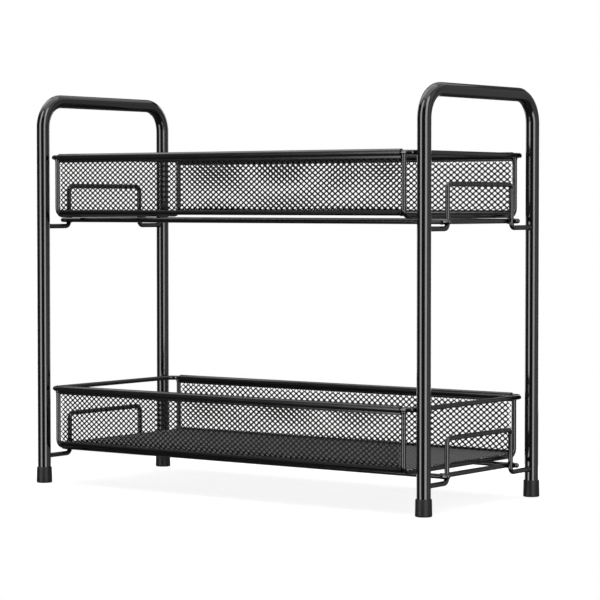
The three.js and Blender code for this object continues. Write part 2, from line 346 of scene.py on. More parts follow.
def finished_mesh(name, points, faces, sharp_degrees=45):
    """Mesh from points and faces, smooth except where faces meet at more than the given angle."""
    mesh = bpy.data.meshes.new(name)
    mesh.from_pydata(points.tolist(), [], faces)
    mesh.polygons.foreach_set("use_smooth", np.ones(len(mesh.polygons), bool))
    mesh.set_sharp_from_angle(angle=math.radians(sharp_degrees))
    mesh.update()
    return mesh


# The mesh, a folded net of diamonds

class NetLay:
    """Where the rows and columns of one basket's net lie on its flat sheet.

    Rows are counted in half diamonds from the middle of the floor. Between the marked rows (floor edge, end
    of the bend, wall top) they are evenly spaced. Columns fan out from the front wall to the rear wall.
    """

    # Half diamonds round each bend
    BEND_ROWS = 4

    def __init__(self, half_long, flat, wall, sizes):
        """Marks the rows of a floor with the given half width and of walls with the given height."""
        half_rows = (sizes.mesh_rows / 2, sizes.mesh_rows / 2 * sizes.mesh_stretch)
        counts = [math.floor(wall / step) for step in half_rows]
        front, rear = [count * step for count, step in zip(counts, half_rows)]
        bent = flat + sizes.basket_bend * math.pi / 2
        edge = round(flat / (half_rows[0] + half_rows[1]) * 2)
        turned = edge + self.BEND_ROWS
        self.half_long = half_long
        self.half_short = half_rows[0]
        self.marks = [-turned - counts[0], -turned, -edge, edge, turned, turned + counts[1]]
        self.places = [-bent - front, -bent, -flat, flat, bent, bent + rear]
        self.fan = ((-turned, turned), (1.0, sizes.mesh_stretch))
        self.strips = {
            "front": (self.marks[0] + 1, -edge - 1),
            "floor": (-edge, edge),
            "rear": (edge + 1, self.marks[-1] - 1),
        }

    def plan(self, column, row):
        """Points of the flat sheet, across and along, at counts of half columns and half rows."""
        across = column * self.half_long * np.interp(row, *self.fan)
        return np.stack([across, np.interp(row, self.marks, self.places)], axis=1)


# A diamond whose middle is nearer to the sheet's end than this share of a half pitch is left out
END_SHARE = 0.3
# Share of a gap's sides that is cut off at each corner
GAP_CUT = 0.2
# Spare places on each side of the numbered corners
PAD = 2


def diamond_net(lay, rows, limit, sizes):
    """Flat net of diamonds as points (across, along, height) and faces.

    Diamond (a, b), with a + b even, is centred at (a, b) half pitches and its corners lie one half pitch
    away, where its neighbours share them. Its gap is a smaller diamond with cut corners. The strand is
    highest on the line between two gaps and thinner at the gap's edge, so it looks round. The sheet is
    trimmed at the limit.
    """
    columns = math.ceil(limit / lay.half_long)
    counts = np.arange(-columns, columns + 1), np.arange(rows[0], rows[1] + 1)
    a, b = np.meshgrid(*counts, indexing="ij")
    reach = np.abs(lay.plan(a.ravel(), b.ravel())[:, 0]).reshape(a.shape)
    kept = ((a + b) % 2 == 0) & (reach < limit - END_SHARE * lay.half_long)
    a, b = a[kept], b[kept]
    corner_a = np.stack([a + 1, a, a - 1, a], axis=1)
    corner_b = np.stack([b, b + 1, b, b - 1], axis=1)
    left = columns + PAD
    low = rows[0] - PAD
    span = 2 * left + 1
    key = (corner_b - low) * span + corner_a + left
    found, corner = np.unique(key, return_inverse=True)
    corner = corner.reshape(key.shape)
    knots = np.stack([found % span - left, found // span + low], axis=1).astype(float)
    gap = gap_outline(lay.half_long, lay.half_short, sizes.mesh_strand)
    ring = len(knots) + np.arange(len(a) * len(gap)).reshape(-1, len(gap))
    inner = (np.stack([a, b], axis=1)[:, None, :] + gap[None]).reshape(-1, 2)
    plan = lay.plan(*np.concatenate([knots, inner]).T)
    thickness = np.repeat([sizes.mesh_thickness, sizes.mesh_edge], [len(knots), len(inner)])
    plan = wandered(plan, limit, sizes.mesh_drift)
    plan[:, 0] = trimmed(plan[:, 0], limit, sizes.mesh_strand)
    across, along = np.tile(plan, (2, 1)).T
    height = np.concatenate([thickness / 2, -thickness / 2])
    return across, along, height, net_faces(corner, ring, len(plan))


def trimmed(across, limit, border):
    """Squeezes what runs past a sheet's end into its border.

    A point there comes to lie at inside + border * (1 - exp(-excess / border)).
    """
    excess = np.maximum(np.abs(across) - limit + border, 0)
    inside = np.minimum(np.abs(across), limit - border)
    return np.sign(across) * (inside + border * (1 - np.exp(-excess / border)))


# Waves that a net wanders by: share of the drift, lengths a and b along and up the net in metres, and start
SIDEWAYS_WAVES = ((1.0, 0.023, 0.017, 0.0), (0.6, 0.041, -0.011, 0.0))
UPWARD_WAVES = ((1.0, 0.031, -0.019, 1.0), (0.6, 0.017, 0.043, 0.0))
# How sharply the waves die out at the net's ends
END_POWER = 8


def wave_sum(waves, x, y):
    """Sum of share * sin(x / a + y / b + start) over the waves."""
    return sum(part * np.sin(x / a + y / b + start) for part, a, b, start in waves)


def wandered(plan, reach, drift):
    """Moves a net's points as the stretching of the sheet does: by slow waves that die out at its two ends.

    A point moves by drift times the sum of the waves, times 1 - (x / reach)^END_POWER.
    """
    x, y = plan.T
    hold = drift * (1 - np.minimum(np.abs(x) / reach, 1) ** END_POWER)
    sideways = hold * wave_sum(SIDEWAYS_WAVES, x, y)
    upwards = hold * wave_sum(UPWARD_WAVES, x, y)
    return plan + np.stack([sideways, upwards], axis=1)


def gap_outline(half_long, half_short, strand):
    """Eight points of a gap, in half pitches: a diamond less half a strand all round, its corners cut."""
    shrink = 1 - strand / 2 * math.hypot(half_long, half_short) / (half_long * half_short)
    near, far = shrink * (1 - GAP_CUT), shrink * GAP_CUT
    quarter = np.array([(near, far), (far, near)])
    mirror = quarter[::-1] * np.array([-1, 1])
    upper = np.concatenate([quarter, mirror])
    return np.concatenate([upper, -upper])


def net_faces(corner, ring, below):
    """Faces of the net, above and below, with the walls of its gaps and its outer edges.

    Corners run E, N, W, S and a gap's points anticlockwise. A point's underside is numbered below higher.
    """
    quads = []
    triangles = []
    for k in range(4):
        here, after = corner[:, k], corner[:, (k + 1) % 4]
        first, second = ring[:, 2 * k], ring[:, 2 * k + 1]
        following = ring[:, (2 * k + 2) % 8]
        quads.append(np.stack([here, after, second, first], axis=1))
        triangles.append(np.stack([after, following, second], axis=1))
    top_quads = np.concatenate(quads)
    top_triangles = np.concatenate(triangles)
    turned = np.roll(ring, -1, axis=1)
    walls = np.stack([ring, turned, turned + below, ring + below], axis=-1).reshape(-1, 4)
    outline = np.stack([corner, np.roll(corner, -1, axis=1)], axis=-1).reshape(-1, 2)
    code = np.sort(outline, axis=1) @ np.array([below, 1])
    single = np.unique(code, return_index=True, return_counts=True)
    border = outline[single[1][single[2] == 1]]
    edges = np.stack([border[:, 1], border[:, 0], border[:, 0] + below, border[:, 1] + below], axis=1)
    faces = np.concatenate([top_quads, top_quads[:, ::-1] + below, walls, edges]).tolist()
    faces += np.concatenate([top_triangles, top_triangles[:, ::-1] + below]).tolist()
    return faces


def folded(across, along, height, flat, bend, level):
    """Folds a flat sheet into a trough.

    Within the flat half-width a point stays level. Past it, the angle is the way past the edge divided by
    the bend's radius, up to a right angle, and the rest goes straight up. The height is taken off the bend's
    radius.
    """
    past = np.maximum(np.abs(along) - flat, 0)
    angle = np.minimum(past / bend, math.pi / 2)
    rise = np.maximum(past - bend * math.pi / 2, 0)
    out = np.minimum(np.abs(along), flat) + (bend - height) * np.sin(angle)
    up = level + bend - (bend - height) * np.cos(angle) + rise
    return np.stack([across, np.sign(along) * out, up], axis=1)


# Finishes

def new_group(name, inputs, outputs):
    """Shader node group with float inputs {name: default} and float outputs, and its in and out nodes."""
    group = bpy.data.node_groups.new(name, "ShaderNodeTree")
    for label, default in inputs.items():
        socket = group.interface.new_socket(label, in_out="INPUT", socket_type="NodeSocketFloat")
        socket.default_value = default
    for label in outputs:
        group.interface.new_socket(label, in_out="OUTPUT", socket_type="NodeSocketFloat")
    entry = group.nodes.new("NodeGroupInput")
    leave = group.nodes.new("NodeGroupOutput")
    return group, entry, leave


def math_node(tree, operation, *values):
    """Math node of one operation; a value is a number or the socket that feeds it."""
    node = tree.nodes.new("ShaderNodeMath")
    node.operation = operation
    for socket, value in zip(node.inputs, values):
        if isinstance(value, bpy.types.NodeSocket):
            tree.links.new(value, socket)
        else:
            socket.default_value = value
    return node.outputs[0]


def noise(tree, scale, detail, roughness=0.5):
    """Noise on Object coordinates. Its scale, in waves per metre, comes from a socket."""
    place = tree.nodes.new("ShaderNodeTexCoord")
    node = tree.nodes.new("ShaderNodeTexNoise")
    node.inputs["Detail"].default_value = detail
    node.inputs["Roughness"].default_value = roughness
    tree.links.new(place.outputs["Object"], node.inputs["Vector"])
    tree.links.new(scale, node.inputs["Scale"])
    return node.outputs["Fac"]


def smooth_step(tree, value, start, end, low, high):
    """Value that goes smoothly from low to high while another value goes from start to end."""
    node = tree.nodes.new("ShaderNodeMapRange")
    node.interpolation_type = "SMOOTHSTEP"
    node.inputs["From Min"].default_value = start
    node.inputs["From Max"].default_value = end
    node.inputs["To Min"].default_value = low
    node.inputs["To Max"].default_value = high
    tree.links.new(value, node.inputs["Value"])
    return node.outputs["Result"]


def grey(brightness):
    """An opaque grey, up to white at a brightness of 1."""
    return (brightness, brightness, brightness, 1)


def enamel_skin_group():
    """Skin of sprayed enamel: the height of its orange peel and a slow drift of its gloss from 0 to 1.

    The height is a coarse noise plus a share of a finer one.
    """
    inputs = {"Peel scale": 900.0, "Fine ratio": 3.1, "Fine share": 0.35, "Drift scale": 35.0}
    group, entry, leave = new_group("Enamel skin", inputs, ("Height", "Drift"))
    given = entry.outputs
    coarse = noise(group, given["Peel scale"], detail=1.0)
    fine_scale = math_node(group, "MULTIPLY", given["Peel scale"], given["Fine ratio"])
    fine = noise(group, fine_scale, detail=2.0)
    height = math_node(group, "MULTIPLY_ADD", fine, given["Fine share"], coarse)
    group.links.new(height, leave.inputs["Height"])
    group.links.new(noise(group, given["Drift scale"], detail=3.0), leave.inputs["Drift"])
    return group


def settled_dust_group():
    """Dust mask from 0 to 1: specks and film on faces that look up, none on faces that look down.

    The mask is amount * (film + specks) * up^power, where up is the upward part of the normal and specks are
    gain * (noise - level), down to zero.
    """
    inputs = {
        "Amount": 0.1,
        "Up power": 3.0,
        "Film scale": 60.0,
        "Speck scale": 700.0,
        "Speck level": 0.55,
        "Speck gain": 5.0,
    }
    group, entry, leave = new_group("Settled dust", inputs, ("Mask",))
    given = entry.outputs
    surface = group.nodes.new("ShaderNodeNewGeometry")
    parts = group.nodes.new("ShaderNodeSeparateXYZ")
    group.links.new(surface.outputs["Normal"], parts.inputs[0])
    up = math_node(group, "MAXIMUM", parts.outputs["Z"], 0.0)
    upward = math_node(group, "POWER", up, given["Up power"])
    film = noise(group, given["Film scale"], detail=4.0, roughness=0.6)
    grains = noise(group, given["Speck scale"], detail=2.0)
    over = math_node(group, "SUBTRACT", grains, given["Speck level"])
    specks = math_node(group, "MULTIPLY", math_node(group, "MAXIMUM", over, 0.0), given["Speck gain"])
    cover = math_node(group, "MULTIPLY", math_node(group, "ADD", film, specks), upward)
    mask = math_node(group, "MULTIPLY", cover, given["Amount"])
    group.links.new(math_node(group, "MINIMUM", mask, 1.0), leave.inputs["Mask"])
    return group


def place_group(tree, group, values):
    """Places a shared group in a material, with that material's own values."""
    node = tree.nodes.new("ShaderNodeGroup")
    node.node_tree = group
    for label, value in values.items():
        node.inputs[label].default_value = value
    return node


def coat(name, look, base, roughness, gloss, drift, peel, peel_depth, dust, sheen=0.0):
    """Material of one finish: base colour under dust, drifting roughness and a fine bump.

    Roughness is the given one plus drift times (noise - 0.5), plus what dust adds. The bump's height is the
    skin's peel times its depth.
    """
    material = bpy.data.materials.new(name)
    material.use_nodes = True
    tree = material.node_tree
    shader = tree.nodes["Principled BSDF"]
    shader.inputs["Specular IOR Level"].default_value = gloss
    shader.inputs["Sheen Weight"].default_value = sheen
    shader.inputs["Sheen Roughness"].default_value = look.sheen_roughness
    groups = bpy.data.node_groups
    skin = place_group(tree, groups["Enamel skin"], {"Peel scale": peel})
    settled = place_group(tree, groups["Settled dust"], {"Amount": dust})
    mask = settled.outputs["Mask"]
    blend = tree.nodes.new("ShaderNodeMix")
    blend.data_type = "RGBA"
    blend.inputs["A"].default_value = (*base, 1)
    blend.inputs["B"].default_value = (*look.dust, 1)
    tree.links.new(mask, blend.inputs["Factor"])
    tree.links.new(blend.outputs["Result"], shader.inputs["Base Color"])
    dusty = math_node(tree, "MULTIPLY_ADD", mask, look.dust_roughness, roughness - drift / 2)
    rough = math_node(tree, "MULTIPLY_ADD", skin.outputs["Drift"], drift, dusty)
    tree.links.new(rough, shader.inputs["Roughness"])
    bump = tree.nodes.new("ShaderNodeBump")
    bump.inputs["Strength"].default_value = 1.0
    bump.inputs["Distance"].default_value = peel_depth
    tree.links.new(skin.outputs["Height"], bump.inputs["Height"])
    tree.links.new(bump.outputs["Normal"], shader.inputs["Normal"])
    return material


def finish_recipe(name, look):
    """What coat needs for one finish: colour, roughness, gloss, drift, peel in waves per metre and dust."""
    tube = dict(
        base=look.tube_enamel, roughness=look.tube_roughness,
        gloss=0.5, drift=0.02, peel=300.0, peel_depth=0.0004 * MM, dust=0.004
    )
    wire = dict(
        base=look.wire_enamel, roughness=look.wire_roughness,
        gloss=0.5, drift=0.06, peel=500.0, peel_depth=0.003 * MM, dust=0.005
    )
    mesh = dict(
        base=look.mesh_enamel, roughness=look.mesh_roughness,
        gloss=0.12, drift=0.08, peel=1100.0, peel_depth=0.006 * MM, dust=0.1
    )
    rubber = dict(
        base=look.rubber, roughness=look.rubber_roughness,
        gloss=0.25, drift=0.16, peel=1500.0, peel_depth=0.030 * MM, dust=0.030
    )
    recipes = {
        "Gloss black enamel": tube,
        "Semi-gloss black enamel": wire,
        "Satin wire enamel": dict(wire, roughness=look.hem_roughness),
        "Dull black enamel": dict(wire, roughness=look.dull_roughness, gloss=0.1, dust=0.2),
        "Satin black enamel": mesh,
        "Satin enamel with sheen": dict(mesh, sheen=look.floor_sheen),
        "Foot rubber": rubber,
    }
    return recipes[name]


def finish(name):
    """The material of that name, made on first use from the finish properties."""
    found = bpy.data.materials.get(name)
    if found:
        return found
    if "Enamel skin" not in bpy.data.node_groups:
        enamel_skin_group()
        settled_dust_group()
    look = bpy.context.scene.rack_finish
    return coat(name, look, **finish_recipe(name, look))


# Pieces in the scene

def show_piece(node, mesh, material):
    """Puts a mesh in the scene as the piece that stands for one CAD node and moves with its body."""
    piece = bpy.data.objects.new("shown_" + node, mesh)
    bpy.context.scene.collection.objects.link(piece)
    mesh.materials.append(material)
    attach(piece, frame["nodes"][node]["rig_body"])
    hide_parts(node)


def show_wire(node, route, radius, across, sizes, look="Semi-gloss black enamel"):
    """Shows a round wire along a route, with a weld bead at both ends."""
    whole = distance_along(route[0])[-1]
    places = [sizes.weld_sink, whole - sizes.weld_sink]
    route = with_stations(route, places, sizes.weld_length)
    thick = welded_radius(route[0], radius, places, sizes.weld_bead, sizes.weld_length)
    grid = round_section(route, thick, across, WIRE_SIDES)
    show_piece(node, grid_mesh(node + "_skin", grid), finish(look))


# Operators

class RACK_OT_side_tubes(bpy.types.Operator):
    """Make the two bent side tubes, each a leg, the handle bar and the other leg"""

    bl_idname = "rack.side_tubes"
    bl_label = "Side Tubes"

    def execute(self, context):
        """Carries a circle along the tube's bent centre line."""
        sizes = context.scene.rack_sizes
        for side in SIDES:
            node = "side_tube_" + side
            x = middle(node, 0)
            y = half_size(node, 1) - TUBE_RADIUS
            top = highest(node) - TUBE_RADIUS
            foot = lowest(node)
            corners = [(x, -y, foot), (x, -y, top), (x, y, top), (x, y, foot)]
            route = bent_route(corners, sizes.handle_bend)
            grid = round_section(route, TUBE_RADIUS, (1, 0, 0), ROUND_SIDES)
            mesh = grid_mesh(node + "_skin", grid)
            show_piece(node, mesh, finish("Gloss black enamel"))
        return {"FINISHED"}


class RACK_OT_feet(bpy.types.Operator):
    """Make the four push-on rubber feet"""

    bl_idname = "rack.feet"
    bl_label = "Feet"

    # The sole and the socket's floor are closed by discs of this share of the foot's radius
    DISC_SHARE = 0.3

    def execute(self, context):
        """Turns a profile with round edges and a socket about each leg."""
        sizes = context.scene.rack_sizes
        for face in FACES:
            for side in SIDES:
                node = f"foot_{face}_{side}"
                profile = self.profile(node, sizes)
                grid = lathe_grid(profile, ROUND_SIDES)
                grid += np.array([middle(node, 0), middle(node, 1), lowest(node)])
                show_piece(node, grid_mesh(node + "_skin", grid), finish("Foot rubber"))
        return {"FINISHED"}

    def profile(self, node, sizes):
        """Radius and height: from the sole up the tapered outside, over the lip and down the socket."""
        bottom = half_size(node, 0)
        top = bottom - sizes.foot_taper
        height = 2 * half_size(node, 2)
        edge = sizes.foot_edge
        lip = sizes.foot_lip
        disc = bottom * self.DISC_SHARE
        socket = TUBE_RADIUS + sizes.foot_socket_gap
        sole = lowest("side_tube_right") - lowest(node)
        return np.concatenate([
            [(disc, 0.0)],
            arc((bottom - edge, edge), edge, -math.pi / 2, 0, EDGE_STEPS),
            arc((top - lip, height - lip), lip, 0, math.pi / 2, EDGE_STEPS),
            [(socket, height)],
            [(socket, sole)],
            [(disc, sole)],
        ])


class RACK_OT_brackets(bpy.types.Operator):
    """Make the four bent wires that are welded between the legs"""

    bl_idname = "rack.brackets"
    bl_label = "Brackets"

    def execute(self, context):
        """Carries a circle along each wire, thicker at the welds on its ends."""
        sizes = context.scene.rack_sizes
        for tier in TIERS:
            for side in SIDES:
                node = f"{tier}_bracket_{side}"
                x = middle(node, 0)
                end = half_size(node, 1) + sizes.weld_sink
                hoop = half_size(f"{tier}_rung_{side}", 1) - WIRE_RADIUS
                level = lowest(node) + WIRE_RADIUS
                top = highest(node) - WIRE_RADIUS
                corners = [(x, -end, level), (x, -hoop, level), (x, -hoop, top)]
                corners += [(x, -y, z) for x, y, z in corners[::-1]]
                show_wire(node, bent_route(corners, sizes.bracket_bend), WIRE_RADIUS, (1, 0, 0), sizes)
        return {"FINISHED"}


class RACK_OT_rails(bpy.types.Operator):
    """Make the rails along the rack and the short rungs between them"""

    bl_idname = "rack.rails"
    bl_label = "Rails and Rungs"

    def execute(self, context):
        """Carries a circle along each rod; a rail's ends are round, a rung's ends are welded."""
        sizes = context.scene.rack_sizes
        for tier in TIERS:
            for face in FACES:
                self.rail(f"{tier}_rail_{face}", tier, sizes)
            for side in SIDES:
                node = f"{tier}_rung_{side}"
                end = half_size(node, 1) + sizes.weld_sink
                x, z = middle(node, 0), middle(node, 2)
                route = bent_route([(x, -end, z), (x, end, z)], 0)
                show_wire(node, route, WIRE_RADIUS, (1, 0, 0), sizes)
        return {"FINISHED"}

    def rail(self, node, tier, sizes):
        """A rod along X, with a weld bead at each bracket.

        Over the last radius of its length, its radius is the wire's times sqrt(1 - t^2), t from 0 to 1.
        """
        y, z = middle(node, 1), middle(node, 2)
        half = half_size(node, 0)
        dome = np.sin(np.linspace(0, math.pi / 2, DOME_STEPS + 1))[:-1] * WIRE_RADIUS
        tip = half - WIRE_RADIUS + dome
        crossing = middle(f"{tier}_bracket_right", 0)
        near = crossing + np.linspace(-WELD_REACH, WELD_REACH, RAIL_WELD_STATIONS) * sizes.weld_length
        x = np.unique(np.concatenate([-tip, tip, near, -near]))
        cap = np.clip((np.abs(x) - half + WIRE_RADIUS) / WIRE_RADIUS, 0, 1)
        bead = sizes.rail_bead * np.exp(-((np.abs(x) - crossing) / sizes.weld_length) ** 2)
        points = np.stack([x, np.full_like(x, y), np.full_like(x, z)], axis=1)
        directions = np.broadcast_to(np.array([1.0, 0.0, 0.0]), points.shape)
        radius = WIRE_RADIUS * np.sqrt(1 - cap ** 2) + bead
        grid = round_section((points, directions), radius, (0, 0, 1), WIRE_SIDES)
        mesh = grid_mesh(node + "_skin", grid)
        show_piece(node, mesh, finish("Semi-gloss black enamel"))


class RACK_OT_basket_wires(bpy.types.Operator):
    """Make the rim ring, the end wires and the bottom wires of each basket"""

    bl_idname = "rack.basket_wires"
    bl_label = "Basket Wires"

    def execute(self, context):
        """Carries a circle round the rim, along the end wires and along the wires under the folds."""
        sizes = context.scene.rack_sizes
        for tier in TIERS:
            self.rim(f"{tier}_basket_rim", sizes)
            for side in SIDES:
                self.end_wire(f"{tier}_basket_end_wire_{side}", sizes)
            for face in FACES:
                self.bottom_wire(f"{tier}_basket_bottom_wire_{face}", sizes)
        return {"FINISHED"}

    def rim(self, node, sizes):
        """A closed rounded rectangle of round wire."""
        x = half_size(node, 0) - RIM_RADIUS
        y = half_size(node, 1) - RIM_RADIUS
        z = middle(node, 2)
        corners = [(x, -y, z), (x, y, z), (-x, y, z), (-x, -y, z)]
        route = bent_route(corners, sizes.rim_corner, closed=True)
        grid = round_section(route, RIM_RADIUS, (0, 0, 1), WIRE_SIDES)
        mesh = grid_mesh(node + "_skin", grid, closed=True)
        show_piece(node, mesh, finish("Semi-gloss black enamel"))

    def end_wire(self, node, sizes):
        """A wire down one corner, across under the floor and up the other corner."""
        x = middle(node, 0)
        y = half_size(node, 1) - END_WIRE_RADIUS
        bottom = lowest(node) + END_WIRE_RADIUS
        top = highest(node) + sizes.weld_sink
        route = bent_route([(x, -y, top), (x, -y, bottom), (x, y, bottom), (x, y, top)], sizes.basket_bend)
        show_wire(node, route, END_WIRE_RADIUS, (1, 0, 0), sizes)

    def bottom_wire(self, node, sizes):
        """A straight wire under the fold of the mesh, welded to both end wires."""
        end = half_size(node, 0) + sizes.weld_sink
        y, z = middle(node, 1), middle(node, 2)
        route = bent_route([(-end, y, z), (end, y, z)], 0)
        show_wire(node, route, half_size(node, 2), (0, 0, 1), sizes, look="Dull black enamel")


class RACK_OT_hems(bpy.types.Operator):
    """Make the strips folded round the rim wire, which close on the mesh"""

    bl_idname = "rack.hems"
    bl_label = "Hems"

    # How far from each end a second row of points lies
    END_ROW = 0.3 * MM

    def execute(self, context):
        """Draws the folded strip's section along X."""
        sizes = context.scene.rack_sizes
        section = self.section(sizes)
        for tier in TIERS:
            level = middle(f"{tier}_basket_rim", 2)
            for face in FACES:
                node = f"{tier}_basket_hem_{face}"
                half = half_size(node, 0)
                x = np.array([-half, -half + self.END_ROW, half - self.END_ROW, half])
                grid = np.empty((len(x), len(section), 3))
                grid[:, :, 0] = x[:, None]
                grid[:, :, 1] = section[:, 0] + middle(node, 1)
                grid[:, :, 2] = section[:, 1] + level
                mesh = grid_mesh(node + "_skin", grid)
                show_piece(node, mesh, finish("Satin wire enamel"))
        return {"FINISHED"}

    def section(self, sizes):
        """Outline in Y and Z: round one cheek's lip, the outside, the other cheek's lip and the inside."""
        inner = RIM_RADIUS + sizes.hem_fit
        outer = sizes.hem_roll
        slot = SHEET_THICKNESS / 2 + sizes.hem_fit
        cheek = slot + sizes.hem_sheet
        down = -math.pi / 2
        outside = math.asin(cheek / outer)
        inside = math.asin(slot / inner)
        lip = sizes.hem_sheet / 2
        drop = -sizes.hem_drop + lip
        return np.concatenate([
            arc((slot + lip, drop), lip, -math.pi, 0, EDGE_STEPS),
            arc((0, 0), outer, down + outside, down - outside + 2 * math.pi, HEM_OUTSIDE_STEPS),
            arc((-slot - lip, drop), lip, -math.pi, 0, EDGE_STEPS),
            arc((0, 0), inner, down - inside + 2 * math.pi, down + inside, HEM_INSIDE_STEPS),
        ])


class RACK_OT_mesh_sheets(bpy.types.Operator):
    """Make the front, floor and rear of each basket's bent mesh sheet"""

    bl_idname = "rack.mesh_sheets"
    bl_label = "Mesh Sheets"

    # Strands are drawn smooth except where faces meet at more than this
    SHARP_DEGREES = 80

    def execute(self, context):
        """Folds three strips of one flat net of diamonds into each basket."""
        sizes = context.scene.rack_sizes
        for tier in TIERS:
            floor = f"{tier}_basket_mesh_floor"
            level = middle(floor, 2)
            flat = half_size(floor, 1)
            wall = highest(f"{tier}_basket_mesh_front") - level - sizes.basket_bend
            pitch = getattr(sizes, tier + "_pitch")
            lay = NetLay(pitch / 2, flat, wall, sizes)
            for part, rows in lay.strips.items():
                node = f"{tier}_basket_mesh_{part}"
                across, along, height, faces = diamond_net(lay, rows, half_size(node, 0), sizes)
                points = folded(across, along, height, flat, sizes.basket_bend, level)
                mesh = finished_mesh(node + "_skin", points, faces, self.SHARP_DEGREES)
                look = "Satin enamel with sheen" if part == "floor" else "Satin black enamel"
                show_piece(node, mesh, finish(look))
        return {"FINISHED"}


# Stage

# Sensor in millimetres and picture in pixels that the focal length in pixels belongs to
SENSOR_WIDTH = 36
PICTURE_WIDTH = 600

TABLE_SIDES = 96
TABLE_RINGS = 24
# The innermost ring, as a share of the table's radius, is closed by a disc
TABLE_DISC_SHARE = 0.02
CLOTH_SIDES = 64

# Upright lamps, by degrees to the right of the camera, metres and radiance
STRIPS = {
    "Left strip": dict(turn=-51.0, distance=2.2, bottom=-1.2, width=1.07, height=4.5, radiance=6.6),
    "Right strip": dict(turn=28.5, distance=2.2, bottom=-1.2, width=1.14, height=4.5, radiance=6.6),
    "Right fill": dict(turn=63.0, distance=2.3, bottom=-1.2, width=1.55, height=3.5, radiance=0.6),
    "Rear left strip": dict(turn=-150.0, distance=2.2, bottom=-0.6, width=0.7, height=1.8, radiance=3.0),
    "Rear right strip": dict(turn=150.0, distance=2.2, bottom=-0.1, width=0.7, height=1.3, radiance=3.0),
}

# Lamps that face the rack from above, by degrees to the right of its front, metres and radiance, and the
# level on the rack's axis that they face
LAMPS = {
    "Upper left": dict(turn=-90.0, distance=1.53, level=2.04, width=1.2, height=1.53, radiance=2.4),
    "Overhead": dict(turn=0.0, distance=0.0, level=2.4, width=2.4, height=2.4, radiance=1.5),
}
LAMP_AIM_LEVEL = 0.2


